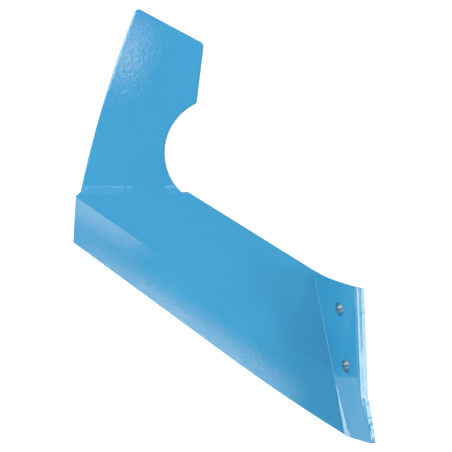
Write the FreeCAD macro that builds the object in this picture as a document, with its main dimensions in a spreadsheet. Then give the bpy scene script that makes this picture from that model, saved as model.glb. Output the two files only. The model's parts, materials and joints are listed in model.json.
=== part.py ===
"""Right-hand wing share of a stubble cultivator: a bevelled steel blade with its bolting flange bent up
from the same plate, and a guide fin welded to the outer rear edge.

Working frame, in millimetres: Z is up, the share travels towards -Y and the wing reaches out to -X.
The origin is midway between the two bolt holes, on the face of the flange that bolts to the tine.
"""
import FreeCAD, Part
import math
import os

import Sketcher
from FreeCAD import Placement, Rotation, Vector

SIZES = {
    # How the share stands in the ground
    "lift_angle": 32,  # slope of the blade, measured square to its cutting edge
    "sweep_angle": 38,  # between the cutting edge and the line of travel
    # Plate of the blade, flange and fin
    "plate_thickness": 10,
    "bend_radius": 2,  # inside the bend
    # Outline of the blade, seen square to its top face
    "edge_length": 328.5,  # cutting edge, from the line of the bend to the tip
    "nose_curve": 140,  # stretch of that edge that curves up to the flange
    "nose_reach": 2.6,  # where the curve ends, past the bend line
    "nose_rise": 5.5,  # and up along it
    "tip_angle": 122,
    "tip_length": 48.6,
    "seam_angle": 36.3,  # between the cutting edge and the welded edge
    "seam_length": 107.8,
    "bend_length": 171.1,
    "tip_corner_radius": 1.5,
    "seam_corner_chamfer": 4,  # outer end of the welded edge
    "seam_corner_radius": 2,  # inner end
    # Bevel along the front
    "bevel_run": 68.9,  # along the bend line, from the cutting edge to the crease
    "bevel_taper": 1.7,  # the bevel narrows towards the tip
    "blade_bevel_angle": 8.7,
    "flange_bevel_angle": 4.6,
    "nose_fillet": 7,  # radius in the inner corner at the very front
    # Flange
    "flange_front_width": 37.2,  # at the foot of the bend line
    "flange_front_taper": 2.3,
    "flange_knee_along": 46.4,  # where the free edge turns outwards
    "flange_rear_taper": 16.6,
    "flange_front_angle": 9.5,  # slant of the front trim cut, seen square to the blade
    "flange_rear_angle": 25.3,  # and of the rear one
    "rear_kink_reach": 9.9,  # where the rear one starts, past the bend line
    "rear_blend_radius": 80,
    "flange_corner_radius": 3,
    "rollover_radius": 1.8,  # the shears drew the free edge down on the inner face
    "hole_diameter": 13.5,  # for M12
    "hole_spacing": 55,
    "hole_line_angle": 9.3,
    "front_hole_along": 77.6,  # front hole, from the foot of the bend line
    "front_hole_up": 25.2,
    # Guide fin, measured from the outer end of the seam
    "fin_heel_inset": 4,
    "fin_top_across": 58.1,
    "fin_top_height": 177.6,
    "fin_edge_radius": 1110,  # the long outer edge is slightly bowed
    "fin_top_angle": 28.2,
    "fin_top_length": 73.6,
    "fin_inner_angle": 6.9,
    "cutout_radius": 52.3,
    "cutout_across": 137.5,
    "cutout_height": 37.8,
    "fin_corner_radius": 4,
    "fin_rim_radius": 1.2,  # rounds the edge of its top face
    # Welds along the seam
    "upper_weld_reach": 6,  # over the fin
    "upper_weld_overlap": 1.5,  # over the blade
    "upper_weld_radius": 6,
    "weld_end_radius": 1,
    "weld_end_gap": 3,
    "upper_weld_length": 51,
    "tack_weld_length": 14,
    "underside_weld_width": 9,
    "underside_weld_radius": 7,
}

doc = FreeCAD.newDocument("wing_share")


def make_sheet():
    """Driving dimensions, one named cell each."""
    sheet = doc.addObject("Spreadsheet::Sheet", "Sizes")
    for row, (name, value) in enumerate(SIZES.items(), start=1):
        sheet.set(f"A{row}", name)
        sheet.set(f"B{row}", str(value))
        sheet.setAlias(f"B{row}", name)
    doc.recompute()
    return sheet


make_sheet()
size = SIZES

# Angles that follow from the working position
lift = math.radians(size["lift_angle"])
sweep = math.radians(size["sweep_angle"])
bend_angle = math.degrees(math.acos(math.sin(lift) * math.cos(sweep)))
edge_to_bend = math.degrees(math.atan(math.tan(sweep) / math.cos(lift)))
bend_slope = math.degrees(math.asin(math.sin(math.radians(edge_to_bend)) * math.sin(lift)))
BEND_ANGLE = "acos(sin(Sizes.lift_angle) * cos(Sizes.sweep_angle))"
EDGE_TO_BEND = "atan(tan(Sizes.sweep_angle) / cos(Sizes.lift_angle))"


def heading(angle, length=1.0):
    """Vector of a length at an angle in the plane of a sketch."""
    return Vector(math.cos(math.radians(angle)), math.sin(math.radians(angle)), 0) * length


def new_sketch(body, name, role, offset=Placement()):
    """Sketch on one of the body's own origin planes, or at an offset from it."""
    sketch = body.newObject("Sketcher::SketchObject", name)
    plane = [feature for feature in body.Origin.OriginFeatures if feature.Role == role][0]
    sketch.AttachmentSupport = [(plane, "")]
    sketch.MapMode = "FlatFace"
    sketch.AttachmentOffset = offset
    return sketch


def dimension(sketch, expression, *constraint):
    """Dimension of a sketch, bound to the sheet."""
    index = sketch.addConstraint(Sketcher.Constraint(*constraint))
    sketch.setExpression(f"Constraints[{index}]", expression)


def polygon(sketch, points, closed=True):
    """Lines from point to point, joined at their ends; returns their numbers."""
    ends = points[1:] + points[:1] if closed else points[1:]
    lines = [sketch.addGeometry(Part.LineSegment(a, b)) for a, b in zip(points, ends)]
    for a, b in zip(lines, lines[1:] + (lines[:1] if closed else [])):
        sketch.addConstraint(Sketcher.Constraint("Coincident", a, 2, b, 1))
    return lines


def arc_between(sketch, centre, first, last):
    """Arc about a centre, anticlockwise from first to last."""
    angles = [math.atan2(point.y - centre.y, point.x - centre.x) for point in (first, last)]
    circle = Part.Circle(centre, Vector(0, 0, 1), (first - centre).Length)
    return sketch.addGeometry(Part.ArcOfCircle(circle, *angles))


def tangent_arc(sketch, start, direction, end):
    """Arc that leaves start in a direction and ends at end; returns its number and those of its ends."""
    chord = end - start
    sideways = Vector(-direction.y, direction.x, 0).normalize()
    radius = chord.Length ** 2 / (2 * chord.dot(sideways))
    centre = start + sideways * radius
    left_turn = radius > 0
    if left_turn:
        return arc_between(sketch, centre, start, end), 1, 2
    return arc_between(sketch, centre, end, start), 2, 1


def upright_edges(shape, points, tolerance=0.01):
    """Names of the straight edges that stand on the given points of a sketch."""
    names = []
    for number, edge in enumerate(shape.Edges, start=1):
        ends = [vertex.Point for vertex in edge.Vertexes]
        for point in points:
            if len(ends) == 2 and all(math.hypot(e.x - point.x, e.y - point.y) < tolerance for e in ends):
                names.append(f"Edge{number}")
    return names


def cut_profile(body, name, sketch, upwards=False, both_sides=False):
    """Pocket through everything on one side of its sketch; upwards is the side the sketch faces."""
    doc.recompute()
    before = body.Shape.Volume
    pocket = body.newObject("PartDesign::Pocket", name)
    pocket.Profile = sketch
    pocket.Type = "ThroughAll"
    pocket.Reversed = upwards
    if both_sides:
        pocket.SideType = "Symmetric"
    doc.recompute()
    if not body.Shape.Volume < before:
        raise RuntimeError(f"{name} cuts nothing")
    return pocket


def round_edges(body, name, base, edges, expression):
    """Fillet on the named edges of a feature."""
    fillet = body.newObject("PartDesign::Fillet", name)
    fillet.Base = (base, edges)
    fillet.setExpression("Radius", expression)
    doc.recompute()
    return fillet


def round_corners(body, name, base, points, expression):
    """Fillet on the upright edges at the given corners of an outline."""
    return round_edges(body, name, base, upright_edges(base.Shape, points), expression)


# Frame of the blade: y runs back along the bend line, x across it towards the flange and z out of the
# top face, with the origin where the bend line meets the line of the cutting edge
thickness = size["plate_thickness"]
along_edge = 90 + edge_to_bend  # heading of the cutting edge, from the bend out to the tip
flange_plane = Rotation(Vector(0, 1, 0), -bend_angle)
flange_up = flange_plane.multVec(Vector(1, 0, 0))
flange_out = flange_plane.multVec(Vector(0, 0, -1))
blade_reach = size["edge_length"] + size["tip_length"]
BLADE_REACH = "(Sizes.edge_length + Sizes.tip_length)"
FLANGE_REACH = "(Sizes.flange_front_width + Sizes.bend_length * tan(Sizes.flange_rear_taper))"
front_lean = math.tan(math.radians(size["flange_front_taper"]))
rear_lean = math.tan(math.radians(size["flange_rear_taper"]))
flange_reach = size["flange_front_width"] + size["bend_length"] * rear_lean

tip_front = heading(along_edge, size["edge_length"])
seam_outer = tip_front + heading(along_edge - 180 + size["tip_angle"], size["tip_length"])
seam_heading = along_edge - 180 + size["seam_angle"]
seam_inner = seam_outer + heading(seam_heading, size["seam_length"])


def bent_section(body):
    """Section across the bend: two legs of plate joined by an arc."""
    inner = size["bend_radius"]
    outer = inner + thickness
    setback = inner * math.tan(math.radians(bend_angle) / 2)
    centre = Vector(-setback, inner, 0)
    up = heading(bend_angle)
    out = heading(bend_angle - 90)
    sketch = new_sketch(body, "section", "XZ_Plane")
    start = math.radians(-90)
    turn = math.radians(bend_angle)
    top = sketch.addGeometry(Part.LineSegment(Vector(-blade_reach, 0, 0), Vector(-setback, 0, 0)))
    inside = sketch.addGeometry(Part.ArcOfCircle(
        Part.Circle(centre, Vector(0, 0, 1), inner), start, start + turn))
    face = sketch.addGeometry(Part.LineSegment(up * setback, up * flange_reach))
    end = sketch.addGeometry(Part.LineSegment(up * flange_reach, up * flange_reach + out * thickness))
    back = sketch.addGeometry(Part.LineSegment(up * flange_reach + out * thickness, centre + out * outer))
    outside = sketch.addGeometry(Part.ArcOfCircle(
        Part.Circle(centre, Vector(0, 0, 1), outer), start, start + turn))
    under = sketch.addGeometry(Part.LineSegment(
        Vector(-setback, -thickness, 0), Vector(-blade_reach, -thickness, 0)))
    tip = sketch.addGeometry(Part.LineSegment(
        Vector(-blade_reach, -thickness, 0), Vector(-blade_reach, 0, 0)))
    for kind, *references in (
            ("Tangent", top, 2, inside, 1), ("Tangent", inside, 2, face, 1), ("Coincident", face, 2, end, 1),
            ("Coincident", end, 2, back, 1), ("Tangent", back, 2, outside, 2),
            ("Tangent", outside, 1, under, 1), ("Coincident", under, 2, tip, 1),
            ("Coincident", tip, 2, top, 1),
            ("Coincident", inside, 3, outside, 3), ("PointOnObject", top, 1, -1), ("Horizontal", top),
            ("Horizontal", under), ("Vertical", tip), ("Perpendicular", face, end), ("Parallel", face, back),
            ("PointOnObject", -1, 1, face)):
        sketch.addConstraint(Sketcher.Constraint(kind, *references))
    dimension(sketch, "Sizes.bend_radius", "Radius", inside, inner)
    dimension(sketch, "Sizes.plate_thickness", "Distance", tip, thickness)
    dimension(sketch, BEND_ANGLE, "Angle", face, turn)
    dimension(sketch, BLADE_REACH, "DistanceX", top, 1, -1, 1, blade_reach)
    dimension(sketch, FLANGE_REACH, "Distance", -1, 1, face, 2, flange_reach)
    return sketch


def outline_waste(body):
    """Everything outside the outline of the share, seen square to its blade."""
    sketch = new_sketch(body, "outline_waste", "XY_Plane")
    nose = Vector(size["nose_reach"], size["nose_rise"], 0)
    nose_start = heading(along_edge, size["nose_curve"])
    trim_front = nose + heading(-size["flange_front_angle"]) * (
        (flange_reach - nose.x) / math.cos(math.radians(size["flange_front_angle"])))
    bend_rear = Vector(0, size["bend_length"], 0)
    rear = (bend_rear - seam_inner).normalize()
    kink = bend_rear + rear * (size["rear_kink_reach"] / rear.x)
    trim_rear = heading(-size["flange_rear_angle"])
    trim = kink + trim_rear * ((flange_reach - kink.x) / trim_rear.x)
    blend = size["rear_blend_radius"] * math.tan(rear.getAngle(trim_rear) / 2)
    blend_in = kink - rear * blend
    blend_out = kink + trim_rear * blend

    edge, tip, seam, back = polygon(sketch, [nose_start, tip_front, seam_outer, seam_inner, blend_in], False)
    rear_trim, flange_end, front_trim = polygon(sketch, [blend_out, trim, trim_front, nose], False)
    curve, curve_in, curve_out = tangent_arc(sketch, blend_in, rear, blend_out)
    nose_arc, nose_back, nose_front = tangent_arc(sketch, nose_start, heading(along_edge + 180), nose)
    crossing = sketch.addGeometry(Part.Point(bend_rear), True)
    corner = sketch.addGeometry(Part.Point(kink), True)
    for kind, *references in (
            ("Tangent", back, 2, curve, curve_in), ("Tangent", curve, curve_out, rear_trim, 1),
            ("Tangent", nose_arc, nose_back, edge, 1), ("Coincident", front_trim, 2, nose_arc, nose_front),
            ("PointOnObject", -1, 1, edge), ("PointOnObject", crossing, 1, -2),
            ("PointOnObject", crossing, 1, back), ("PointOnObject", corner, 1, back),
            ("PointOnObject", corner, 1, rear_trim), ("Vertical", flange_end)):
        sketch.addConstraint(Sketcher.Constraint(kind, *references))
    dimension(sketch, f"90 deg + {EDGE_TO_BEND}", "Angle", edge, math.radians(along_edge))
    dimension(sketch, "Sizes.edge_length", "Distance", -1, 1, edge, 2, size["edge_length"])
    dimension(sketch, "Sizes.nose_curve", "Distance", -1, 1, edge, 1, size["nose_curve"])
    dimension(sketch, "Sizes.nose_reach", "DistanceX", -1, 1, nose_arc, nose_front, nose.x)
    dimension(sketch, "Sizes.nose_rise", "DistanceY", -1, 1, nose_arc, nose_front, nose.y)
    dimension(sketch, f"{EDGE_TO_BEND} - 90 deg + Sizes.tip_angle * 1 deg", "Angle", tip,
              math.radians(along_edge - 180 + size["tip_angle"]))
    dimension(sketch, "Sizes.tip_length", "Distance", tip, size["tip_length"])
    dimension(sketch, f"{EDGE_TO_BEND} - 90 deg + Sizes.seam_angle * 1 deg", "Angle", seam,
              math.radians(seam_heading))
    dimension(sketch, "Sizes.seam_length", "Distance", seam, size["seam_length"])
    dimension(sketch, "Sizes.bend_length", "DistanceY", -1, 1, crossing, 1, size["bend_length"])
    dimension(sketch, "Sizes.rear_kink_reach", "DistanceX", -1, 1, corner, 1, kink.x)
    dimension(sketch, "Sizes.rear_blend_radius", "Radius", curve, size["rear_blend_radius"])
    dimension(sketch, "-Sizes.flange_rear_angle", "Angle", rear_trim,
              -math.radians(size["flange_rear_angle"]))
    dimension(sketch, "180 - Sizes.flange_front_angle", "Angle", front_trim,
              math.radians(180 - size["flange_front_angle"]))
    dimension(sketch, FLANGE_REACH, "DistanceX", -1, 1, rear_trim, 2, flange_reach)

    frame = 2 * blade_reach
    corners = [Vector(-frame, -frame, 0), Vector(frame, -frame, 0), Vector(frame, frame, 0),
               Vector(-frame, frame, 0)]
    bottom, right, top, left = polygon(sketch, corners)
    for kind, *references in (
            ("Horizontal", bottom), ("Horizontal", top), ("Vertical", left), ("Vertical", right),
            ("Symmetric", bottom, 1, top, 1, -1, 1)):
        sketch.addConstraint(Sketcher.Constraint(kind, *references))
    dimension(sketch, f"4 * {BLADE_REACH}", "Distance", bottom, 2 * frame)
    dimension(sketch, f"4 * {BLADE_REACH}", "Distance", right, 2 * frame)
    return sketch


# Free edge of the flange, in the plane of its inner face: across it from the bend, and back along it
knee = size["flange_knee_along"]
flange_knee = Vector(size["flange_front_width"] + knee * front_lean, knee, 0)


def flange_waste(body):
    """Everything beyond the free edge of the flange, in the plane of its inner face."""
    sketch = new_sketch(body, "flange_waste", "XY_Plane", Placement(Vector(), flange_plane))
    rear = 2 * size["bend_length"]
    far = 3 * flange_reach
    front = Vector(size["flange_front_width"] - rear * front_lean, -rear, 0)
    back = flange_knee + Vector(rear_lean, 1, 0) * (rear - flange_knee.y)
    points = [front, flange_knee, back, Vector(far, rear, 0), Vector(far, -rear, 0)]
    front_edge, rear_edge, across, outside, bottom = polygon(sketch, points)
    foot = sketch.addGeometry(Part.Point(Vector(size["flange_front_width"], 0, 0)), True)
    for kind, *references in (
            ("Vertical", outside), ("Horizontal", across), ("Horizontal", bottom),
            ("PointOnObject", foot, 1, -1), ("PointOnObject", foot, 1, front_edge)):
        sketch.addConstraint(Sketcher.Constraint(kind, *references))
    dimension(sketch, "Sizes.flange_front_width", "DistanceX", -1, 1, foot, 1, size["flange_front_width"])
    dimension(sketch, "Sizes.flange_knee_along", "DistanceY", -1, 1, front_edge, 2, flange_knee.y)
    dimension(sketch, "90 - Sizes.flange_front_taper", "Angle", front_edge,
              math.radians(90 - size["flange_front_taper"]))
    dimension(sketch, "90 - Sizes.flange_rear_taper", "Angle", rear_edge,
              math.radians(90 - size["flange_rear_taper"]))
    dimension(sketch, "2 * Sizes.bend_length", "DistanceY", -1, 1, rear_edge, 2, rear)
    dimension(sketch, "2 * Sizes.bend_length", "DistanceY", front_edge, 1, -1, 1, rear)
    dimension(sketch, f"3 * {FLANGE_REACH}", "DistanceX", -1, 1, across, 2, far)
    return sketch


def on_free_edge(point, tolerance=0.01):
    """Whether a point of the flange lies on the cut along its free edge."""
    lean = front_lean if point.y < flange_knee.y else rear_lean
    return abs(point.x - flange_knee.x - lean * (point.y - flange_knee.y)) < tolerance


def flange_edges(shape, on_inner_face):
    """Names of edges of the free edge's cut: where it meets the inner face, or its front corner."""
    to_flange = flange_plane.inverted()
    names = []
    for number, edge in enumerate(shape.Edges, start=1):
        ends = [to_flange.multVec(vertex.Point) for vertex in edge.Vertexes]
        if len(ends) < 2 or not all(on_free_edge(end) for end in ends):
            continue
        spans_plate = abs(ends[0].z - ends[1].z) > thickness / 2
        in_front = max(end.y for end in ends) < flange_knee.y / 2
        if on_inner_face and not spans_plate and max(abs(end.z) for end in ends) < 0.01:
            names.append(f"Edge{number}")
        if not on_inner_face and spans_plate and in_front:
            names.append(f"Edge{number}")
    return names


front_hole = Vector(size["front_hole_up"], size["front_hole_along"], 0)
rear_hole = front_hole + heading(90 - size["hole_line_angle"], size["hole_spacing"])


def bolt_holes(body):
    """Two round holes square through the flange."""
    sketch = new_sketch(body, "bolt_holes", "XY_Plane", Placement(Vector(), flange_plane))
    radius = size["hole_diameter"] / 2
    front, rear = [sketch.addGeometry(Part.Circle(spot, Vector(0, 0, 1), radius))
                   for spot in (front_hole, rear_hole)]
    line = sketch.addGeometry(Part.LineSegment(front_hole, rear_hole), True)
    sketch.addConstraint(Sketcher.Constraint("Coincident", line, 1, front, 3))
    sketch.addConstraint(Sketcher.Constraint("Coincident", line, 2, rear, 3))
    dimension(sketch, "Sizes.front_hole_up", "DistanceX", -1, 1, front, 3, front_hole.x)
    dimension(sketch, "Sizes.front_hole_along", "DistanceY", -1, 1, front, 3, front_hole.y)
    dimension(sketch, "Sizes.hole_spacing", "Distance", line, size["hole_spacing"])
    dimension(sketch, "90 - Sizes.hole_line_angle", "Angle", line, math.radians(90 - size["hole_line_angle"]))
    dimension(sketch, "Sizes.hole_diameter / 2", "Radius", front, radius)
    sketch.addConstraint(Sketcher.Constraint("Equal", front, rear))
    return sketch


# Both bevels start at the point where their creases meet on the bend line
bevel_start = Vector(0, size["bevel_run"], 0)
blade_bevel = Rotation(Vector(0, 0, 1), along_edge + size["bevel_taper"]) * Rotation(
    Vector(1, 0, 0), -size["blade_bevel_angle"])
flange_bevel = flange_plane * Rotation(Vector(1, 0, 0), size["flange_bevel_angle"])
inner_corner = blade_bevel.multVec(Vector(0, 0, 1)).cross(flange_bevel.multVec(Vector(0, 0, 1))).normalize()
if inner_corner.y > 0:
    inner_corner = -inner_corner


def bevel(body, name, plane):
    """Ground-off zone on a bevel plane, from its crease to past the front edge."""
    sketch = new_sketch(body, name, "XY_Plane", Placement(bevel_start, plane))
    corner = plane.inverted().multVec(inner_corner) * (2 * size["bevel_run"])
    points = [Vector(), corner, Vector(blade_reach, corner.y, 0), Vector(blade_reach, 0, 0)]
    inner, front, outer, crease = polygon(sketch, points)
    for kind, *references in (
            ("Horizontal", front), ("Horizontal", crease), ("Vertical", outer),
            ("Coincident", inner, 1, -1, 1)):
        sketch.addConstraint(Sketcher.Constraint(kind, *references))
    slant = math.degrees(math.atan2(corner.y, corner.x))
    sketch.addConstraint(Sketcher.Constraint("Angle", inner, math.radians(slant)))
    dimension(sketch, "2 * Sizes.bevel_run", "Distance", inner, corner.Length)
    dimension(sketch, BLADE_REACH, "Distance", crease, blade_reach)
    return sketch


def wing_blade():
    """Blade and flange from one bent plate."""
    body = doc.addObject("PartDesign::Body", "blade_body")
    pad = body.newObject("PartDesign::Pad", "bent_plate")
    pad.Profile = bent_section(body)
    pad.SideType = "Symmetric"
    pad.setExpression("Length", f"2 * {BLADE_REACH}")
    doc.recompute()
    outline = cut_profile(body, "outline", outline_waste(body), both_sides=True)
    corners = round_corners(body, "tip_corner", outline, [tip_front], "Sizes.tip_corner_radius")
    corners = round_corners(body, "seam_inner_corner", corners, [seam_inner], "Sizes.seam_corner_radius")
    chamfer = body.newObject("PartDesign::Chamfer", "seam_outer_corner")
    chamfer.Base = (corners, upright_edges(corners.Shape, [seam_outer]))
    chamfer.setExpression("Size", "Sizes.seam_corner_chamfer")
    doc.recompute()
    sheared = cut_profile(body, "flange_edge", flange_waste(body))
    corner = round_edges(body, "flange_corner", sheared, flange_edges(sheared.Shape, False),
                         "Sizes.flange_corner_radius")
    round_edges(body, "flange_rollover", corner, flange_edges(corner.Shape, True), "Sizes.rollover_radius")
    blade_grind = bevel(body, "blade_bevel_zone", blade_bevel)
    cut_profile(body, "blade_bevel", blade_grind, upwards=True)
    flange_grind = bevel(body, "flange_bevel_zone", flange_bevel)
    cut_profile(body, "flange_bevel", flange_grind, upwards=True)
    cut_profile(body, "bolt_hole_pair", bolt_holes(body))
    return body


# Working position: rolled until the flange is upright, pitched until the cutting edge is level, and
# moved until the middle of the bolt holes, on the outer face, is at the origin
mount_point = flange_plane.multVec((front_hole + rear_hole) * 0.5) + flange_out * thickness
roll = Rotation(Vector(0, 1, 0), bend_angle - 90)
pitch = Rotation(Vector(1, 0, 0), bend_slope)
stance = pitch * roll
share_position = Placement(-stance.multVec(mount_point), stance)
fin_position = share_position * Placement(
    seam_outer - Vector(0, 0, thickness), Rotation(Vector(0, 0, 1), seam_heading))


def nose_edge(shape):
    """Inner corner between the two bevels, and its radii from end to end."""
    to_blade = share_position.inverse()
    for number, edge in enumerate(shape.Edges, start=1):
        ends = [to_blade.multVec(vertex.Point) - bevel_start for vertex in edge.Vertexes]
        if len(ends) == 2 and all(end.cross(inner_corner).Length < 0.01 for end in ends):
            radii = [size["bend_radius"] / 2, size["nose_fillet"]]
            if ends[0].Length > ends[1].Length:
                radii.reverse()
            return number, *radii
    raise RuntimeError("the bevels do not meet")


def rim_edges(shape):
    """Names of the edges round the top face of the fin, apart from its foot on the seam."""
    names = []
    for number, edge in enumerate(shape.Edges, start=1):
        ends = [vertex.Point for vertex in edge.Vertexes]
        on_top = all(abs(end.z - thickness) < 0.01 for end in ends)
        if on_top and max(end.y for end in ends) > 0.01:
            names.append(f"Edge{number}")
    return names


def guide_fin():
    """Flat cut plate with a round cut-out, flush with the blade."""
    body = doc.addObject("PartDesign::Body", "guide_fin")
    sketch = new_sketch(body, "fin_outline", "XY_Plane")
    heel = Vector(size["fin_heel_inset"], 0, 0)
    top_outer = Vector(size["fin_top_across"], size["fin_top_height"], 0)
    top_inner = top_outer + heading(-size["fin_top_angle"], size["fin_top_length"])
    centre = Vector(size["cutout_across"], size["cutout_height"], 0)
    radius = size["cutout_radius"]
    inner_heading = -90 - size["fin_inner_angle"]
    offset = top_inner - centre
    down = heading(inner_heading)
    reach = -offset.dot(down) - math.sqrt(offset.dot(down) ** 2 - offset.Length ** 2 + radius ** 2)
    throat = top_inner + down * reach
    cutout_foot = Vector(centre.x - math.sqrt(radius ** 2 - centre.y ** 2), 0, 0)
    chord = heel - top_outer
    square = Vector(-chord.y, chord.x, 0).normalize()
    bow = size["fin_edge_radius"]
    bow_centre = (heel + top_outer) * 0.5 + square * math.sqrt(bow ** 2 - chord.Length ** 2 / 4)

    top, inner = polygon(sketch, [top_outer, top_inner, throat], False)
    foot = sketch.addGeometry(Part.LineSegment(cutout_foot, heel))
    cutout = arc_between(sketch, centre, throat, cutout_foot)
    outer = arc_between(sketch, bow_centre, top_outer, heel)
    for kind, *references in (
            ("Coincident", inner, 2, cutout, 1), ("Coincident", cutout, 2, foot, 1),
            ("Coincident", foot, 2, outer, 2), ("Coincident", outer, 1, top, 1), ("Horizontal", foot),
            ("PointOnObject", foot, 1, -1)):
        sketch.addConstraint(Sketcher.Constraint(kind, *references))
    dimension(sketch, "Sizes.fin_heel_inset", "DistanceX", -1, 1, foot, 2, heel.x)
    dimension(sketch, "Sizes.fin_top_across", "DistanceX", -1, 1, top, 1, top_outer.x)
    dimension(sketch, "Sizes.fin_top_height", "DistanceY", -1, 1, top, 1, top_outer.y)
    dimension(sketch, "-Sizes.fin_top_angle", "Angle", top, math.radians(-size["fin_top_angle"]))
    dimension(sketch, "Sizes.fin_top_length", "Distance", top, size["fin_top_length"])
    dimension(sketch, "-90 - Sizes.fin_inner_angle", "Angle", inner, math.radians(inner_heading))
    dimension(sketch, "Sizes.cutout_radius", "Radius", cutout, radius)
    dimension(sketch, "Sizes.cutout_across", "DistanceX", -1, 1, cutout, 3, centre.x)
    dimension(sketch, "Sizes.cutout_height", "DistanceY", -1, 1, cutout, 3, centre.y)
    dimension(sketch, "Sizes.fin_edge_radius", "Radius", outer, bow)
    pad = body.newObject("PartDesign::Pad", "fin_plate")
    pad.Profile = sketch
    pad.setExpression("Length", "Sizes.plate_thickness")
    doc.recompute()
    corners = round_corners(body, "fin_corners", pad, [top_outer, top_inner, throat],
                            "Sizes.fin_corner_radius")
    round_edges(body, "fin_rim", corners, rim_edges(corners.Shape), "Sizes.fin_rim_radius")
    body.Placement = fin_position
    return body


def weld_bead(name, seat, face_radius, start, length, length_size):
    """Bead along the seam: its flat seat on the two plates, a bulging face, and softened ends."""
    body = doc.addObject("PartDesign::Body", name)
    sketch = new_sketch(body, f"{name}_section", "YZ_Plane", Placement(Vector(0, 0, start), Rotation()))
    points = [Vector(across, height, 0) for across, height, _, _ in seat]
    flat, = polygon(sketch, points, False)
    radius = size[face_radius]
    chord = points[0] - points[1]
    outward = Vector(-chord.y, chord.x, 0).normalize()
    centre = (points[0] + points[1]) * 0.5 - outward * math.sqrt(radius ** 2 - chord.Length ** 2 / 4)
    face = arc_between(sketch, centre, *points)
    sketch.addConstraint(Sketcher.Constraint("Coincident", face, 1, flat, 1))
    sketch.addConstraint(Sketcher.Constraint("Coincident", face, 2, flat, 2))
    dimension(sketch, f"Sizes.{face_radius}", "Radius", face, radius)
    for end_number, (across, height, across_size, height_size) in enumerate(seat, start=1):
        dimension(sketch, across_size, "DistanceX", -1, 1, flat, end_number, across)
        dimension(sketch, height_size, "DistanceY", -1, 1, flat, end_number, height)
    pad = body.newObject("PartDesign::Pad", f"{name}_run")
    pad.Profile = sketch
    pad.setExpression("Length", length_size)
    doc.recompute()
    arcs = [f"Edge{number}" for number, edge in enumerate(pad.Shape.Edges, start=1)
            if isinstance(edge.Curve, Part.Circle)]
    ends = body.newObject("PartDesign::Fillet", f"{name}_ends")
    ends.Base = (pad, arcs)
    ends.setExpression("Radius", "Sizes.weld_end_radius")
    doc.recompute()
    body.Placement = fin_position
    return body


blade_body = wing_blade()
blade_body.Placement = share_position
doc.recompute()
blade = doc.addObject("Part::Fillet", "wing_blade")
blade.Base = blade_body
blade.Edges = [nose_edge(blade_body.Shape)]
fin = guide_fin()

# The seam runs from the heel of the fin to the foot of its cut-out
seam_start = size["fin_heel_inset"]
seam_end = size["cutout_across"] - math.sqrt(size["cutout_radius"] ** 2 - size["cutout_height"] ** 2)
SEAM_END = "(Sizes.cutout_across - sqrt(Sizes.cutout_radius ^ 2 - Sizes.cutout_height ^ 2))"
over = [
    (size["upper_weld_reach"], thickness, "Sizes.upper_weld_reach", "Sizes.plate_thickness"),
    (-size["upper_weld_overlap"], thickness, "-Sizes.upper_weld_overlap", "Sizes.plate_thickness"),
]
half_width = size["underside_weld_width"] / 2
under = [
    (-half_width, 0, "-Sizes.underside_weld_width / 2", "0"),
    (half_width, 0, "Sizes.underside_weld_width / 2", "0"),
]
gap = size["weld_end_gap"]
welds = [
    weld_bead("fin_weld_upper", over, "upper_weld_radius", seam_start,
              size["upper_weld_length"], "Sizes.upper_weld_length"),
    weld_bead("fin_weld_tack", over, "upper_weld_radius", seam_end - gap - size["tack_weld_length"],
              size["tack_weld_length"], "Sizes.tack_weld_length"),
    weld_bead("fin_weld_underside", under, "underside_weld_radius", seam_start + gap,
              seam_end - seam_start - 2 * gap, f"{SEAM_END} - Sizes.fin_heel_inset - 2 * Sizes.weld_end_gap"),
]
doc.recompute()

for item in doc.Objects:
    if "Invalid" in item.State or "Error" in item.State:
        raise RuntimeError(f"{item.Label} failed: {item.State}")
os.makedirs("parts", exist_ok=True)
for piece in [blade, fin, *welds]:
    if piece.Shape.isNull() or not piece.Shape.isValid() or len(piece.Shape.Solids) != 1:
        raise RuntimeError(f"{piece.Label} is not one sound solid")
    piece.Shape.exportStep(f"parts/{piece.Label}.step")
    print(f"{piece.Label}: {piece.Shape.Volume / 1000:.1f} cm3")
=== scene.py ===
import json
import math

import bmesh
import bpy
from mathutils import Matrix, Vector, noise

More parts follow.
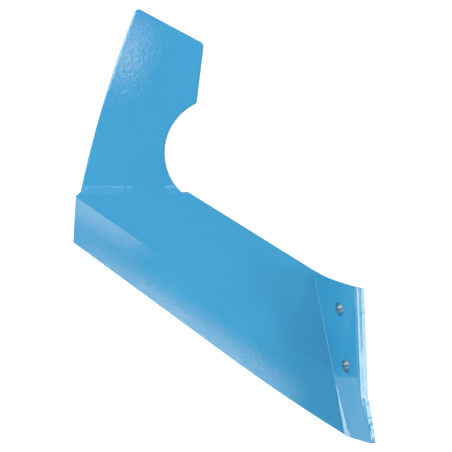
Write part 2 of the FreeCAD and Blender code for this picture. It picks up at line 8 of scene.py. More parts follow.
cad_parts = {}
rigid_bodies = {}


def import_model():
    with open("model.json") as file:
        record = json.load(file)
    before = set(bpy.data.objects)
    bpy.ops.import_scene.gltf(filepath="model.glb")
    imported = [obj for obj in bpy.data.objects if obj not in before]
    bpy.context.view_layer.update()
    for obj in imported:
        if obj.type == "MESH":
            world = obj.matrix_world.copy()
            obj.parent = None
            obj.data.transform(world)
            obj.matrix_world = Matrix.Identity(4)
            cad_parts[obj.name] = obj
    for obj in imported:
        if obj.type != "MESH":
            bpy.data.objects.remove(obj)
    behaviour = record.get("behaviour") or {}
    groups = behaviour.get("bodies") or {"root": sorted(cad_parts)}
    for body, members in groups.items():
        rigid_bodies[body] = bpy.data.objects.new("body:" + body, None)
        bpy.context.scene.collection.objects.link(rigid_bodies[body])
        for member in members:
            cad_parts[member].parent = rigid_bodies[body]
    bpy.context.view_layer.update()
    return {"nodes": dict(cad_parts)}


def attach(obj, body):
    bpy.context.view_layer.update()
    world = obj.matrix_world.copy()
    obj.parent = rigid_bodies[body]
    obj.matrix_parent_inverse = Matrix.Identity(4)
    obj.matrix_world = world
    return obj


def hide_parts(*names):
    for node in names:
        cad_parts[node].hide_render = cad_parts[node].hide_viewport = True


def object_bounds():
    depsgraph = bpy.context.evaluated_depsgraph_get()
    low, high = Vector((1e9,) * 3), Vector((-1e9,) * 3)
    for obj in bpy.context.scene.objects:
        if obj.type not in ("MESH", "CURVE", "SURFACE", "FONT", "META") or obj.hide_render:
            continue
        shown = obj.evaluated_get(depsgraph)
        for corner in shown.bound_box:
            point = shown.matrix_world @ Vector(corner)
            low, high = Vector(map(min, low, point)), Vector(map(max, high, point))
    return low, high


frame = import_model()
print("frame loaded:", ", ".join(sorted(frame["nodes"])))

mm = 0.001

# How the share stands. The blade's own axes: x across it towards the flange, y back along the line
# of the bend, z out of its top face, from the foot of the bend line
stance = {
    "lift": math.radians(32),  # slope of the blade, square to its cutting edge
    "sweep": math.radians(38),  # cutting edge against the line of travel
    "bendFoot": (-10.0 * mm, -87.110 * mm, -65.274 * mm),
}
plate = {
    "thickness": 10 * mm,
    "edgeLength": 328.5 * mm,  # cutting edge, from the bend line to the tip
    "tipAngle": math.radians(122),
    "tipLength": 48.6 * mm,
    "seamAngle": math.radians(36.3),  # between the cutting edge and the welded seam
}

lift, sweep = stance["lift"], stance["sweep"]
bendAngle = math.acos(math.sin(lift) * math.cos(sweep))
edgeToBend = math.atan(math.tan(sweep) / math.cos(lift))
slope = math.asin(math.sin(edgeToBend) * math.sin(lift))
blade = (Matrix.Translation(stance["bendFoot"]) @ Matrix.Rotation(slope, 4, "X")
         @ Matrix.Rotation(bendAngle - math.pi / 2, 4, "Y"))
flange = blade @ Matrix.Rotation(-bendAngle, 4, "Y")  # x up the flange, z out of its inner face


def heading(angle, length):
    return Vector((math.cos(angle), math.sin(angle), 0)) * length


alongEdge = math.pi / 2 + edgeToBend
seamOuter = (heading(alongEdge, plate["edgeLength"])
             + heading(alongEdge - math.pi + plate["tipAngle"], plate["tipLength"]))
# x along the seam from its outer end, y over the fin, z up from the underside of both plates
seam = (blade @ Matrix.Translation(seamOuter - Vector((0, 0, plate["thickness"])))
        @ Matrix.Rotation(alongEdge - math.pi + plate["seamAngle"], 4, "Z"))


# Camera: it looks square at the blade's top face
cameraView = {
    "aim": (-74.5 * mm, 228.7 * mm, 0),  # on the blade's top face, in the blade's axes
    "distance": 1.1,
    "halfFrame": 0.2173,  # half of what the picture spans at the blade
    "roll": math.radians(-11.07),
    "sensor": 36,
    "clip": (0.05, 30),
}
# x right, y up and z out towards the camera, from the point it aims at
view = (blade @ Matrix.Translation(cameraView["aim"])
        @ Matrix.Rotation(cameraView["roll"], 4, "Z"))


def makeCamera():
    data = bpy.data.cameras.new("camera")
    data.sensor_width = cameraView["sensor"]
    data.lens = cameraView["sensor"] / 2 * cameraView["distance"] / cameraView["halfFrame"]
    data.clip_start, data.clip_end = cameraView["clip"]
    camera = bpy.data.objects.new("camera", data)
    camera.matrix_world = view @ Matrix.Translation((0, 0, cameraView["distance"]))
    bpy.context.collection.objects.link(camera)
    bpy.context.scene.camera = camera


makeCamera()
print("camera placed")


# Studio: each lamp stands at a place right, up and out from the point aimed at, and faces "to"
studio = {
    "floorDrop": 0.45,  # below the lowest point of the share
    "floorSize": 30,
    "floorColour": (0.97, 0.97, 0.97, 1),
    "floorRoughness": 0.9,
    "skyColour": (1.0, 1.0, 1.0, 1),
    "skyStrength": (0.90, 0.68),  # low down and overhead
    # the lamp kept off the fin is made up for by a lighter fin paint: painted light
    "flagged": "endLight",  # kept off the fin, which it would turn white from behind
}
warm = (1, 0.72, 0.55)
lamps = {  # "turn" is the slope in the picture of the first side of its "size"
    "bendLight": {"at": (-1.27, -0.34, 0.80), "to": (0.1, -0.1, 0), "size": (1.6, 0.16), "power": 5,
                  "colour": (1, 0.97, 0.94)},
    "noseLight": {"at": (-1.16, -0.99, 0.525), "to": (0.11, -0.18, 0), "size": (0.36, 0.24), "power": 4,
                  "colour": (1, 0.90, 0.82)},
    "rimLight": {"at": (-1.121, 0.729, 0.778), "to": (-0.1, 0.17, 0), "size": (0.34, 0.22), "power": 4.6,
                 "colour": (1, 0.97, 0.94), "turn": math.radians(68.9)},
    "fillLight": {"at": (-0.1, 0.9, 1.3), "to": (0, -0.1, 0), "size": (0.5, 0.5), "power": 6.5,
                  "colour": (1, 0.99, 0.98)},
    "endLight": {"at": (1.13, -0.61, 0.49), "to": (0.13, -0.11, 0.03), "size": (0.36, 0.36), "power": 7,
                 "colour": (1, 0.87, 0.70)},
    "frontLight": {"at": (1.11, -0.24, 0.72), "to": (0.13, -0.20, 0.03), "size": (0.30, 0.16), "power": 2.8,
                   "colour": (1, 0.90, 0.76)},
    "boreLight": {"at": (0.84, 0.65, 0.62), "to": (0.13, -0.10, 0), "size": (0.35, 0.35), "power": 3.5,
                  "colour": (1, 0.98, 0.96)},
    "finGlint": {"at": (-0.196, 0.335, 1.1), "size": (0.044, 0.123), "power": 0.19, "colour": warm,
                 "turn": math.radians(-21), "shape": "ELLIPSE"},
    "creaseGlint": {"at": (-0.481, -0.246, 1.1), "size": (0.30, 0.050), "power": 0.31, "colour": warm,
                    "turn": math.radians(-33), "shape": "ELLIPSE"},
    "edgeGlint": {"at": (-0.294, -0.481, 1.1), "size": (0.56, 0.032), "power": 0.64, "colour": warm,
                  "turn": math.radians(-34.9), "shape": "ELLIPSE"},
}


def makeStudio():
    mesh = bpy.data.meshes.new("floor")
    half = studio["floorSize"] / 2
    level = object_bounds()[0].z - studio["floorDrop"]
    corners = [(-half, -half, level), (half, -half, level), (half, half, level), (-half, half, level)]
    mesh.from_pydata(corners, [], [(0, 1, 2, 3)])
    floor = bpy.data.objects.new("floor", mesh)
    bpy.context.collection.objects.link(floor)
    material = bpy.data.materials.new("floorPaper")
    material.use_nodes = True
    shader = material.node_tree.nodes["Principled BSDF"]
    shader.inputs["Base Color"].default_value = studio["floorColour"]
    shader.inputs["Roughness"].default_value = studio["floorRoughness"]
    mesh.materials.append(material)

    world = bpy.data.worlds.new("studio")
    bpy.context.scene.world = world
    world.use_nodes = True
    tree = world.node_tree
    sky = tree.nodes["Background"]
    sky.inputs["Color"].default_value = studio["skyColour"]
    direction = tree.nodes.new("ShaderNodeTexCoord")
    height = tree.nodes.new("ShaderNodeSeparateXYZ")
    strength = tree.nodes.new("ShaderNodeMapRange")
    strength.inputs["To Min"].default_value, strength.inputs["To Max"].default_value = studio["skyStrength"]
    tree.links.new(direction.outputs["Generated"], height.inputs["Vector"])
    tree.links.new(height.outputs["Z"], strength.inputs["Value"])
    tree.links.new(strength.outputs["Result"], sky.inputs["Strength"])

    for name, lamp in lamps.items():
        data = bpy.data.lights.new(name, "AREA")
        data.shape = lamp.get("shape", "RECTANGLE")
        data.size, data.size_y = lamp["size"]
        data.energy = lamp["power"]
        data.color = lamp["colour"]
        light = bpy.data.objects.new(name, data)
        place = Vector(lamp["at"])
        back = (place - Vector(lamp.get("to", (0, 0, 0)))).normalized()
        first = heading(lamp["turn"], 1) if "turn" in lamp else Vector((-back.y, back.x, 0))
        first = (first - back * first.dot(back)).normalized()
        towards = Matrix((first, back.cross(first), back)).transposed().to_4x4()
        light.matrix_world = view @ Matrix.Translation(place) @ towards
        bpy.context.collection.objects.link(light)
    bpy.context.scene.view_settings.view_transform = "Standard"


makeStudio()
print("studio lit")


# Gloss paint, sprayed thick: slightly uneven in tone and gloss, with a fine orange peel
paint = {
    "colour": (0.032, 0.246, 0.455),
    "thinColour": (0.028, 0.232, 0.437),
    "toneScale": 16,
    "specular": 0.28,
    "glossScale": 45,
    "waveScale": 70,
    "waveDepth": 0.03 * mm,
}
# each coat's factor on the paint's colour is painted light: the fin's paint is made 3.5% lighter than the
# blade's to make up for the lamp kept off it
coats = {  # "gloss" is the roughness, from the glossiest patch to the dullest
    "bladePaint": {"paintedLightFactor": 1, "gloss": (0.035, 0.06), "peelScale": 470, "peelDepth": 0.048 * mm},
    "finPaintPaintedLight": {"paintedLightFactor": 1.035, "gloss": (0.045, 0.075), "peelScale": 380, "peelDepth": 0.09 * mm},
}
# Bolt hole walls: their paint is darker than the outer coat, a painted shade in the holes; the rust patches
# are the walls' own colour
bore = {
    "paint": (0.030, 0.210, 0.38, 1),
    "rust": (0.13, 0.15, 0.19, 1),
    "rustScale": 150,
    "rustLimits": (0.50, 0.58),  # of the cloud, from bare paint to full rust
    "roughness": 0.25,
}


class NodeBoard:
    def __init__(self, name):
        self.material = bpy.data.materials.new(name)
        self.material.use_nodes = True
        self.tree = self.material.node_tree
        self.shader = self.tree.nodes["Principled BSDF"]
        self.place = self.add("ShaderNodeTexCoord").outputs["Object"]

    def add(self, kind, **values):
        node = self.tree.nodes.new(kind)
        for name, value in values.items():
            setattr(node, name, value)
        return node

    def join(self, output, target):
        self.tree.links.new(output, target)

    def cloud(self, scale, detail=2):
        node = self.add("ShaderNodeTexNoise")
        node.inputs["Scale"].default_value = scale
        node.inputs["Detail"].default_value = detail
        self.join(self.place, node.inputs["Vector"])
        return node.outputs["Fac"]

    def between(self, factor, low, high, fromLow=0.35, fromHigh=0.65):
        node = self.add("ShaderNodeMapRange")
        limits = {"From Min": fromLow, "From Max": fromHigh, "To Min": low, "To Max": high}
        for name, value in limits.items():
            node.inputs[name].default_value = value
        self.join(factor, node.inputs["Value"])
        return node.outputs["Result"]

    def blend(self, factor, first, second):
        node = self.add("ShaderNodeMix", data_type="RGBA")
        node.inputs["A"].default_value = first
        node.inputs["B"].default_value = second
        self.join(factor, node.inputs["Factor"])
        return node.outputs["Result"]

    def bump(self, height, depth, onto=None):
        node = self.add("ShaderNodeBump")
        node.inputs["Distance"].default_value = depth
        self.join(height, node.inputs["Height"])
        if onto:
            self.join(onto, node.inputs["Normal"])
        return node.outputs["Normal"]


def paintMaterial(name):
    coat = coats[name]
    board = NodeBoard(name)
    patches = board.between(board.cloud(paint["toneScale"], detail=4), 0, 1)
    # the coat's factor lightens the colour: painted light on the fin and its welds
    colours = [[part * coat["paintedLightFactor"] for part in paint[kind]] + [1] for kind in ("colour", "thinColour")]
    board.join(board.blend(patches, *colours), board.shader.inputs["Base Color"])
    gloss = board.between(board.cloud(paint["glossScale"], detail=3), *coat["gloss"])
    board.join(gloss, board.shader.inputs["Roughness"])
    waves = board.bump(board.cloud(paint["waveScale"], detail=1), paint["waveDepth"])
    peel = board.bump(board.cloud(coat["peelScale"]), coat["peelDepth"], onto=waves)
    board.join(peel, board.shader.inputs["Normal"])
    board.shader.inputs["Specular IOR Level"].default_value = paint["specular"]
    return board.material


def boreMaterial():
    board = NodeBoard("boreShadeAndRust")
    # the darker bore paint is painted shade; the cloud lays rust patches over it
    patches = board.between(board.cloud(bore["rustScale"]), 0, 1, *bore["rustLimits"])
    board.join(board.blend(patches, bore["paint"], bore["rust"]), board.shader.inputs["Base Color"])
    board.shader.inputs["Roughness"].default_value = bore["roughness"]
    return board.material


bladePaint, finPaintPaintedLight = paintMaterial("bladePaint"), paintMaterial("finPaintPaintedLight")
boreShadeAndRust = boreMaterial()
print("paint mixed")


# Pieces that follow their nodes: same shape, with the edges eased as paint leaves them
easing = {
    "mergeDistance": 0.002 * mm,
    "flatAngle": math.radians(0.2),  # faces closer to level than this become one
    "seamTolerance": 0.02 * mm,
    "sharpAngle": math.radians(50),
    "segments": 2,
    "creaseAngle": (math.radians(3), math.radians(15)),
    "creaseSides": 1000 * mm ** 2,  # least area of the faces beside a crease
    "creaseRadius": 0.7 * mm,
}


def softCopy(nodeName, radius, reshape):
    bm = bmesh.new()
    bm.from_mesh(frame["nodes"][nodeName].data)
    bmesh.ops.remove_doubles(bm, verts=bm.verts, dist=easing["mergeDistance"])
    for vert in bm.verts:
        vert.co = reshape(vert.co)
    bmesh.ops.dissolve_limit(bm, angle_limit=easing["flatAngle"], verts=bm.verts, edges=bm.edges)
    toSeam = seam.inverted()

    def onSeam(edge):
        return all(abs((toSeam @ vert.co).y) < easing["seamTolerance"] for vert in edge.verts)

    sharp = [edge for edge in bm.edges
             if edge.calc_face_angle(0) > easing["sharpAngle"] and not onSeam(edge)]
    bmesh.ops.bevel(bm, geom=sharp, offset=radius, offset_type="OFFSET", segments=easing["segments"],
                    profile=0.5, affect="EDGES", clamp_overlap=False)
    low, high = easing["creaseAngle"]
    creases = [edge for edge in bm.edges if low < edge.calc_face_angle(0) < high
               and min(face.calc_area() for face in edge.link_faces) > easing["creaseSides"]]
    if creases:
        bmesh.ops.bevel(bm, geom=creases, offset=easing["creaseRadius"], offset_type="OFFSET",
                        segments=easing["segments"], profile=0.5, affect="EDGES", clamp_overlap=False)
    print(nodeName, "eased:", len(sharp), "edges and", len(creases), "creases")
    return bm


shading = {
    "breakAngle": math.radians(50),
    "flatness": 3,  # a higher one favours the larger face more
    "facetCosine": 0.9995,  # a face that looks this straight along the facet's normal stays flat
}


def evenNormals(mesh):
    # corner normals: flat faces stay flat, and the narrow strips between them turn smoothly
    around = [[] for _ in mesh.vertices]
    for face in mesh.polygons:
        for index in face.vertices:
            around[index].append(face)
    limit = math.cos(shading["breakAngle"])
    normals = []
    for face in mesh.polygons:
        for index in face.vertices:
            normal = Vector()
            for other in around[index]:
                if face.use_smooth and other.use_smooth and other.normal.dot(face.normal) > limit:
                    normal += other.normal * (other.area / mm ** 2) ** shading["flatness"]
            normals.append(normal.normalized() if normal.length > 0 else face.normal.copy())
    mesh.normals_split_custom_set(normals)


def finishPiece(bm, name, nodeName, materials, flatFacing=None):
    bmesh.ops.recalc_face_normals(bm, faces=bm.faces)
    for face in bm.faces:
        face.smooth = not flatFacing or face.normal.dot(flatFacing) < shading["facetCosine"]
    mesh = bpy.data.meshes.new(name)
    bm.to_mesh(mesh)
    bm.free()
    evenNormals(mesh)
    for material in materials:
        mesh.materials.append(material)
    piece = bpy.data.objects.new(name, mesh)
    bpy.context.collection.objects.link(piece)
    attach(piece, "root")
    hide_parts(nodeName)
    return piece


# Free edge of the flange, as the shears left it: a smooth cut band, then torn metal with nicks
tornEdge = {
    "width": 37.2 * mm,  # of the flange at the foot of the bend
    "leastReach": 0.8,  # of that width: what lies nearer to the bend is not the free edge
    "facing": (0.3, 0.45, 0.3),  # of its faces' normals: least outwards, most along, most inwards
    "easing": 0.4 * mm,
    "step": 0.7 * mm,  # between cuts along the edge, and through the plate
    "smoothBand": 4.2 * mm,
    "fade": 0.5 * mm,
    "seamDepth": 0.30 * mm,  # the line where the cut turned into a tear
    "seamFrom": (82 * mm, 100 * mm),  # it fades out between these, towards the front
    "tearDepth": 0.16 * mm,
    "tearLength": (5 * mm, 8 * mm),  # size of the torn scallops, along and through
    "grainDepth": 0.035 * mm,
    "grainLength": 0.9 * mm,
    "nicks": [(139.4, 0.16), (126.3, 0.34), (110, 0.1), (104, 0.14), (97, 0.12), (93, 0.15), (78, 0.08),
              (60, 0.08), (41, 0.2)],  # place along the flange and depth, in millimetres
    "nickWidth": 0.5 * mm,
    "blocksBefore": 27 * mm,  # in front of here the tear breaks up into blocks
    "blockLength": 5.5 * mm,
    "blockDepth": 0.4 * mm,
    "blockSlope": 0.15,  # of the noise, from a block's foot to its top
    "seeds": (0.3, 7.1, 4.7),  # of the scallops, the grain and the blocks
}


def smoothStep(value, low, high):
    share = min(max((value - low) / (high - low), 0), 1)
    return share * share * (3 - 2 * share)


def tear(along, depth):
    # how far the torn edge lies inside the clean cut
    edge = tornEdge
    torn = smoothStep(depth, edge["smoothBand"], edge["smoothBand"] + edge["fade"])
    middle = edge["smoothBand"] + edge["fade"]
    line = edge["seamDepth"] * math.exp(-((depth - middle) / edge["fade"]) ** 2)
    line *= smoothStep(along, *edge["seamFrom"])
    length, height = edge["tearLength"]
    scallopSeed, grainSeed, blockSeed = edge["seeds"]
    scallop = 0.5 + 0.5 * noise.noise((along / length, depth / height, scallopSeed))
    grain = noise.noise((along / edge["grainLength"], depth / edge["grainLength"], grainSeed))
    inside = torn * (edge["tearDepth"] * scallop + edge["grainDepth"] * (1 + grain)) + line
    for place, cut in edge["nicks"]:
        inside += torn * cut * mm * math.exp(-((along - place * mm) / edge["nickWidth"]) ** 2)
    if along < edge["blocksBefore"]:
        block = noise.noise((along / edge["blockLength"], depth / edge["blockLength"], blockSeed))
        inside += torn * edge["blockDepth"] * smoothStep(block, 0, edge["blockSlope"])
    return inside


def tearFreeEdge(bm):
    toFlange = flange.inverted()
    turn = toFlange.to_3x3()
    outwards, along, inwards = tornEdge["facing"]

    def onFreeEdge(face):
        facing = turn @ face.normal
        centre = toFlange @ face.calc_center_median()
        if centre.x < tornEdge["leastReach"] * tornEdge["width"]:
            return False
        return facing.x > outwards and abs(facing.y) < along and facing.z < inwards

    def cut(start, normal):
        faces = [face for face in bm.faces if onFreeEdge(face)]
        edges = {edge for face in faces for edge in face.edges}
        verts = {vert for face in faces for vert in face.verts}
        bmesh.ops.bisect_plane(bm, geom=faces + list(edges) + list(verts), dist=0.001 * mm,
                               plane_co=flange @ start, plane_no=flange.to_3x3() @ normal)

    spots = [toFlange @ vert.co for face in bm.faces if onFreeEdge(face) for vert in face.verts]
    low, high = min(spot.y for spot in spots), max(spot.y for spot in spots)
    step = tornEdge["step"]
    for number in range(1, int(plate["thickness"] / step) + 1):
        cut(Vector((0, 0, -number * step)), Vector((0, 0, 1)))
    for number in range(1, int((high - low) / step) + 1):
        cut(Vector((0, low + number * step, 0)), Vector((0, 1, 0)))
    across = flange.to_3x3() @ Vector((1, 0, 0))
    for vert in {vert for face in bm.faces if onFreeEdge(face) for vert in face.verts}:
        spot = toFlange @ vert.co
        vert.co -= across * tear(spot.y, -spot.z)


# Inner corner at the nose: a flat facet between both bevels that widens towards the front
nose = {
    "bevelRun": 68.9 * mm,  # along the bend line, from the cutting edge to where both bevels start
    "bladeBevel": math.radians(8.7),
    "bevelTaper": math.radians(1.7),
    "flangeBevel": math.radians(4.6),
    "radii": (1 * mm, 7 * mm),  # of the arc that the facet spans, at the start and at the front
    "length": 63.9 * mm,
    "tolerance": 0.15 * mm,
}
bladeBevel = (Matrix.Rotation(alongEdge + nose["bevelTaper"], 3, "Z")
              @ Matrix.Rotation(-nose["bladeBevel"], 3, "X")) @ Vector((0, 0, 1))
flangeBevel = (Matrix.Rotation(-bendAngle, 3, "Y")
               @ Matrix.Rotation(nose["flangeBevel"], 3, "X")) @ Vector((0, 0, 1))


def flattenNose(spot):
    # a spot on the nose's arc moves to the facet, and every other spot stays
    axis = bladeBevel.cross(flangeBevel).normalized()
    axis *= -math.copysign(1, axis.y)
    place = blade.inverted() @ spot - Vector((0, nose["bevelRun"], 0))
    run = place.dot(axis)
    if not -nose["tolerance"] < run < nose["length"] + nose["tolerance"]:
        return spot
    start, end = nose["radii"]
    radius = start + (end - start) * run / nose["length"]
    cosine = bladeBevel.dot(flangeBevel)
    centre = axis * run + (bladeBevel + flangeBevel) * radius / (1 + cosine)
    inward = centre - place
    if abs(inward.length - radius) > nose["tolerance"]:
        return spot
    inward.normalize()
    if min(inward.dot(bladeBevel), inward.dot(flangeBevel)) < cosine:
        return spot
    middle = (bladeBevel + flangeBevel).normalized()
    depth = radius * (inward.dot(middle) - math.sqrt((1 + cosine) / 2))
    return spot + blade.to_3x3() @ middle * depth


holes = {
    "places": [(-23.733 * mm, -13.892 * mm), (23.733 * mm, 13.892 * mm)],
    "radius": 6.75 * mm,
    "mostFacing": 0.3,  # along the hole: a wall's normal has less
}


def makeBlade():
    bm = softCopy("wing_blade", tornEdge["easing"], flattenNose)
    tearFreeEdge(bm)
    for face in bm.faces:
        centre = face.calc_center_median()
        reach = min(math.hypot(centre.y - y, centre.z - z) for y, z in holes["places"])
        # the bolt holes' walls take the darker bore paint, a painted shade
        if reach < holes["radius"] and abs(face.normal.x) < holes["mostFacing"]:
            face.material_index = 1
    return finishPiece(bm, "wingBladePainted", "wing_blade", [bladePaint, boreShadeAndRust],
                       blade.to_3x3() @ (bladeBevel + flangeBevel).normalized())


bladePiece = makeBlade()
print("blade made:", len(bladePiece.data.polygons), "faces")


# Fin: its outline in the plane of the seam, with the round cut-out. "rim" is the section of its
# edge in millimetres, inwards from the outline and up from the underside: the top is dulled wider
fin = {
    "heel": (4 * mm, 0),
    "topOuter": (58.1 * mm, 177.6 * mm),
    "topAngle": math.radians(28.2),
    "topLength": 73.6 * mm,
    "innerAngle": math.radians(6.9),
    "edgeRadius": 1110 * mm,
    "cornerRadius": 4 * mm,
    "rim": [(0.5, 0), (0.15, 0.15), (0, 0.5), (0, 8.7), (0.12, 9.1), (0.4, 9.43), (0.75, 9.6),
            (0.8, 9.635), (1.6, 9.99), (1.72, 10)],
    "cornerSteps": 8,
    "edgeSteps": 30,
    "cutOutSteps": 48,
}
cutOut = {"centre": (137.5 * mm, 37.8 * mm), "radius": 52.3 * mm, "margin": 0.4 * mm}


def arcPoints(centre, radius, first, last, steps):
    # from one angle to another, both ends included
    angles = [first + (last - first) * step / steps for step in range(steps + 1)]
    return [centre + Vector((math.cos(angle), math.sin(angle))) * radius for angle in angles]


def angleTo(centre, point):
    return math.atan2(point.y - centre.y, point.x - centre.x)


def roundedCorner(corner, back, ahead, radius, steps):
    # back and ahead are headings from the corner along its two sides
    half = back.angle(ahead) / 2
    centre = corner + (back + ahead).normalized() * radius / math.sin(half)
    reach = radius / math.tan(half)
    first = angleTo(centre, corner + back * reach)
    last = angleTo(centre, corner + ahead * reach)
    if last < first:
        last += 2 * math.pi
    return arcPoints(centre, radius, first, last, steps)


def finOutline():
    # from the foot of the cut-out up its arc, round the top and down the outer edge to the heel
    heel, topOuter = Vector(fin["heel"]), Vector(fin["topOuter"])
    alongTop = Vector((math.cos(fin["topAngle"]), -math.sin(fin["topAngle"])))
    down = Vector((-math.sin(fin["innerAngle"]), -math.cos(fin["innerAngle"])))
    topInner = topOuter + alongTop * fin["topLength"]
    centre, radius = Vector(cutOut["centre"]), cutOut["radius"]
    corner, steps = fin["cornerRadius"], fin["cornerSteps"]
    foot = centre.x - math.sqrt(radius ** 2 - centre.y ** 2)

    inside = topInner + Vector((down.y, -down.x)) * corner - centre
    drop = inside.dot(down)
    fall = -drop - math.sqrt(drop ** 2 - inside.length ** 2 + (radius + corner) ** 2)
    throat = centre + inside + down * fall  # centre of the rounded corner between cut-out and inner edge
    lowest, highest = angleTo(centre, Vector((foot, 0))) + 2 * math.pi, angleTo(centre, throat)
    points = arcPoints(centre, radius, lowest, highest, fin["cutOutSteps"])
    meets = angleTo(throat, centre)
    points += arcPoints(throat, corner, meets, angleTo(throat, topInner + down * fall), steps)[1:]
    points += roundedCorner(topInner, down, -alongTop, corner, steps)

    chord = heel - topOuter  # of the outer edge, which is a long arc
    across = Vector((-chord.y, chord.x)).normalized()
    bow = fin["edgeRadius"]
    bowCentre = (heel + topOuter) / 2 + across * math.sqrt(bow ** 2 - chord.length ** 2 / 4)
    spoke = topOuter - bowCentre
    fallOuter = Vector((-spoke.y, spoke.x)).normalized()
    if fallOuter.dot(chord) < 0:
        fallOuter.negate()
    points += roundedCorner(topOuter, alongTop, fallOuter, corner, steps)
    first, last = angleTo(bowCentre, points[-1]), angleTo(bowCentre, heel)
    if abs(last - first) > math.pi:
        last += math.copysign(2 * math.pi, first - last)
    points += arcPoints(bowCentre, bow, first, last, fin["edgeSteps"])[1:]
    return points


def shrunk(outline, inset):
    # the outline moved inwards; its two ends stay on the seam
    points = []
    for number, spot in enumerate(outline):
        before, after = outline[max(number - 1, 0)], outline[min(number + 1, len(outline) - 1)]
        run = (after - before).normalized()
        inward = Vector((-run.y, run.x))
        if number in (0, len(outline) - 1):
            points.append(spot + Vector((inset / inward.x, 0)))
        else:
            points.append(spot + inward * inset)
    return points


def makeFin():
    bm = bmesh.new()
    outline = finOutline()
    swept = sum(first.x * second.y - first.y * second.x for first, second in zip(outline, outline[1:]))
    if swept < 0:  # clockwise: its inner side has to be on the left
        outline.reverse()
    rings = [[bm.verts.new((spot.x, spot.y, height * mm)) for spot in shrunk(outline, inset * mm)]
             for inset, height in fin["rim"]]
    bm.faces.new(rings[0])
    bm.faces.new(rings[-1])
    for below, above in zip(rings, rings[1:]):
        for a, b, c, d in zip(below, below[1:] + below[:1], above[1:] + above[:1], above):
            bm.faces.new((a, b, c, d))
    bm.transform(seam)
    return finishPiece(bm, "guideFinPainted", "guide_fin", [finPaintPaintedLight])


finPiece = makeFin()
print("fin made:", len(finPiece.data.polygons), "faces")


# Welds along the seam, laid by hand: "across" is the bead's reach over the fin and over the blade
welds = {
    "upperWeld": {"node": "fin_weld_upper", "start": 5 * mm, "length": 50 * mm,
                  "across": (6 * mm, 1.2 * mm), "crown": 0.85 * mm, "seed": 3.1, "lump": True},
    "tackWeld": {"node": "fin_weld_tack", "start": 84.4 * mm, "length": 15 * mm,
                 "across": (6.6 * mm, 1.2 * mm), "crown": 0.7 * mm, "seed": 11.4},
    "undersideWeld": {"node": "fin_weld_underside", "start": 7 * mm, "length": 91.4 * mm,
                      "across": (4.5 * mm, 4.5 * mm), "crown": 1.6 * mm, "seed": 21.9, "under": True},
}
bead = {
    "step": 0.35 * mm,
    "stations": 22,  # across the bead
    "endRound": 3.2 * mm,
    "endWidth": 0.45,  # share of its width that is left at its ends
    "toe": 1.8,  # softness of its toes: 1 is a plain arc
    "ripplePitch": 2.3 * mm,
    "rippleDepth": 0.10 * mm,
    "rippleBow": 0.9,  # how far the ripples bulge forwards in the middle, in pitches
    "rippleMean": 0.33,  # taken off, so that the ripples leave the bead's height as it is
    "weavePitch": 7.2 * mm,
    "weaveDepth": 0.28 * mm,
    "weaveBow": 0.35,
    "drift": 0.5,  # unevenness of both pitches
    "driftLength": 6 * mm,
    "lumpDepth": 0.30 * mm,
    "lumpLength": (5 * mm, 2.2 * mm),  # along and across
    "smallLumps": (2.3, 2.1, 0.5),  # how much closer than the large ones, along and across, and their share
    "toeWander": 0.45 * mm,
    "wanderLength": 4 * mm,
    "sink": 0.3 * mm,  # the bead's own foot, inside the plates
    "cornerReach": 3.4 * mm,  # first lump, drawn down over the blade's clipped corner
    "cornerAt": 2.2 * mm,
    "cornerWidth": 2.2 * mm,
    "cornerCrown": 0.2,  # by how much it stands higher than the rest
    "cornerSkew": 1.0,
    "heelLean": 0.30,  # slant of the fin's outer edge, which the bead's start follows
    "heelFade": 8 * mm,
}


def finWidth(x):
    # how far the fin reaches from the seam, at a place along it
    offset = cutOut["centre"][0] - x
    if offset > cutOut["radius"]:
        return math.inf
    return cutOut["centre"][1] - math.sqrt(cutOut["radius"] ** 2 - offset ** 2) - cutOut["margin"]


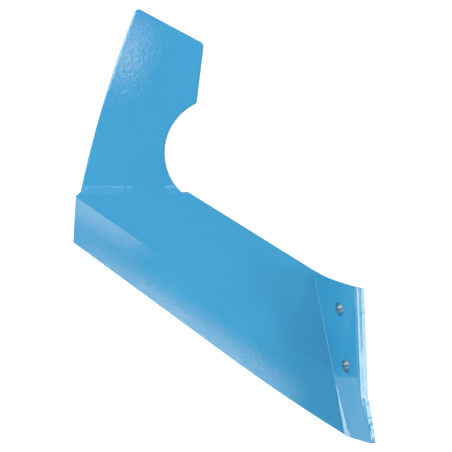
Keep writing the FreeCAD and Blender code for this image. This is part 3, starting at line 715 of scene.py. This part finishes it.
def beadPoint(weld, run, share):
    # a spot on the bead's face and the plate below it, at a run from its start and a share across it
    seed = weld["seed"]
    overFin, overBlade = weld["across"]
    corner = math.exp(-((run - bead["cornerAt"]) / bead["cornerWidth"]) ** 2) if weld.get("lump") else 0
    ends = min(run, weld["length"] - run) / bead["endRound"]
    fullness = math.sqrt(max(1 - (1 - min(ends, 1)) ** 2, 0))
    width = bead["endWidth"] + (1 - bead["endWidth"]) * fullness
    wander = run / bead["wanderLength"]
    overFin = width * (overFin + bead["toeWander"] * noise.noise((wander, seed, 0)))
    overFin = min(overFin, finWidth(weld["start"] + run))
    overBlade = (width * (overBlade + bead["toeWander"] * noise.noise((wander, seed, 5)))
                 + bead["cornerReach"] * corner)
    across = overFin - share * (overFin + overBlade)
    bow = (4 * share * (1 - share)) ** bead["toe"]
    length, breadth = bead["lumpLength"]
    closerAlong, closerAcross, smallShare = bead["smallLumps"]
    lumps = noise.noise((run / length, across / breadth, seed + 2))
    smallPlace = (closerAlong * run / length, closerAcross * across / breadth, seed + 9)
    lumps += smallShare * noise.noise(smallPlace)
    drift = bead["drift"] * noise.noise((run / bead["driftLength"], seed, 2))
    ripple = (run / bead["ripplePitch"] - bead["rippleBow"] * bow + drift) % 1
    weave = math.cos(2 * math.pi * (run / bead["weavePitch"] - bead["weaveBow"] * bow + drift))
    rise = bow * (weld["crown"] * (1 + bead["cornerCrown"] * corner)
                  + bead["rippleDepth"] * (ripple ** 2 - bead["rippleMean"])
                  + bead["weaveDepth"] * weave + bead["lumpDepth"] * lumps)
    rise = max(rise, 0) * fullness
    shift = (bead["cornerSkew"] * min(across, 0) * corner
             + bead["heelLean"] * max(across, 0) * math.exp(-(weld["start"] + run) / bead["heelFade"]))
    under = weld.get("under", False)
    foot = 0 if under else plate["thickness"]
    side = -1 if under else 1
    top = Vector((weld["start"] + run + shift, across, foot + side * rise))
    seat = Vector((weld["start"] + run + shift, across, foot - side * bead["sink"]))
    return seam @ top, seam @ seat


def rimOf(rows):
    # once round the four sides of a grid
    return rows[0] + [row[-1] for row in rows[1:]] + rows[-1][-2::-1] + [row[0] for row in rows[-2:0:-1]]


def makeWeld(name, weld):
    bm = bmesh.new()
    count = round(weld["length"] / bead["step"])
    shares = [station / bead["stations"] for station in range(bead["stations"] + 1)]
    tops, seats = [], []
    for number in range(count + 1):
        run = weld["length"] * number / count
        pairs = [beadPoint(weld, run, share) for share in shares]
        tops.append([bm.verts.new(top) for top, _ in pairs])
        seats.append([bm.verts.new(seat) for _, seat in pairs])
    for rows in (tops, seats):
        for first, second in zip(rows, rows[1:]):
            for a, b, c, d in zip(first, first[1:], second[1:], second):
                bm.faces.new((a, b, c, d))
    rim, foot = rimOf(tops), rimOf(seats)
    for a, b, c, d in zip(rim, rim[1:] + rim[:1], foot[1:] + foot[:1], foot):
        bm.faces.new((a, b, c, d))
    # the welds take the fin's paint, lightened as painted light
    return finishPiece(bm, name, weld["node"], [finPaintPaintedLight])


for name, weld in welds.items():
    weldPiece = makeWeld(name, weld)
    print(name, "made:", len(weldPiece.data.polygons), "faces")


def flagLamp():
    flagged = bpy.data.collections.new("flagged")
    flagged.objects.link(finPiece)
    flagged.collection_objects[0].light_linking.link_state = "EXCLUDE"
    bpy.data.objects[studio["flagged"]].light_linking.receiver_collection = flagged


flagLamp()
print("lamp flagged:", studio["flagged"])
